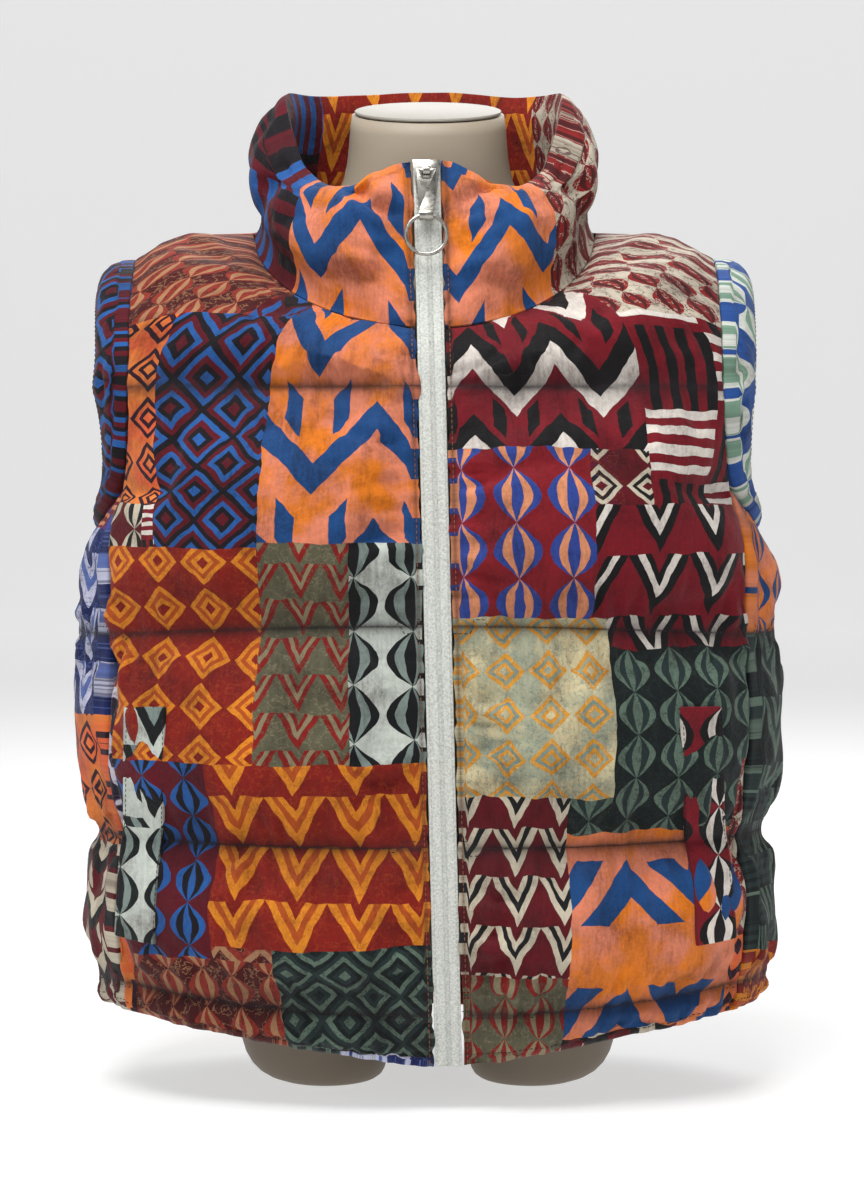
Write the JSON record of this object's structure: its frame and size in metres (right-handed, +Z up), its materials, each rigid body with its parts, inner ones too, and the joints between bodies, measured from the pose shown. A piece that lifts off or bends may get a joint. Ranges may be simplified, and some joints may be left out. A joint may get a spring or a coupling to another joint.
{
  "type": "quilted puffer vest on a limbless dress form",
  "caption": "Sleeveless padded vest with a funnel collar, quilted baffles, welt pockets and a front zip with a ring pull, standing on a limbless dress form.",
  "frame": {"origin": "middle of the whole object's footprint, on the floor that the form's two thigh stubs stand on", "axes": "+X to the right as seen from the front, -Y towards the viewer (the zip side), +Z up"},
  "size_m": [0.5218, 0.3162, 0.7507],
  "materials": {
    "patchwork_cotton": "printed cotton, matt with a slight sheen",
    "zip_tape_cloth": "pale silver-grey woven tape",
    "zip_metal": "polished silver",
    "form_skin": "matt taupe",
    "form_plate": "matt off-white"
  },
  "bodies": {
    "vest": {"front_left": "patchwork_cotton", "front_right": "patchwork_cotton", "back": "patchwork_cotton", "collar": "patchwork_cotton", "armhole_band_left": "patchwork_cotton", "armhole_band_right": "patchwork_cotton", "pocket_welt_left": "patchwork_cotton", "pocket_welt_right": "patchwork_cotton", "zip_tape_left": "zip_tape_cloth", "zip_tape_right": "zip_tape_cloth", "zip_slider": "zip_metal", "form_torso": "form_skin", "neck_plate": "form_plate"},
    "tab": {"pull_tab": "zip_metal"},
    "ring": {"pull_ring": "zip_metal"}
  },
  "joints": [
    {"name": "tab_swing", "type": "hinge", "parent": "vest", "child": "tab", "pos_m": [-0.00161, -0.1009, 0.6696], "axis": [-1, 0, 0], "range_deg": [0, 150]},
    {"name": "ring_swing", "type": "hinge", "parent": "tab", "child": "ring", "pos_m": [-0.00161, -0.10804, 0.63738], "axis": [-1, 0, 0], "range_deg": [0, 100]}
  ]
}
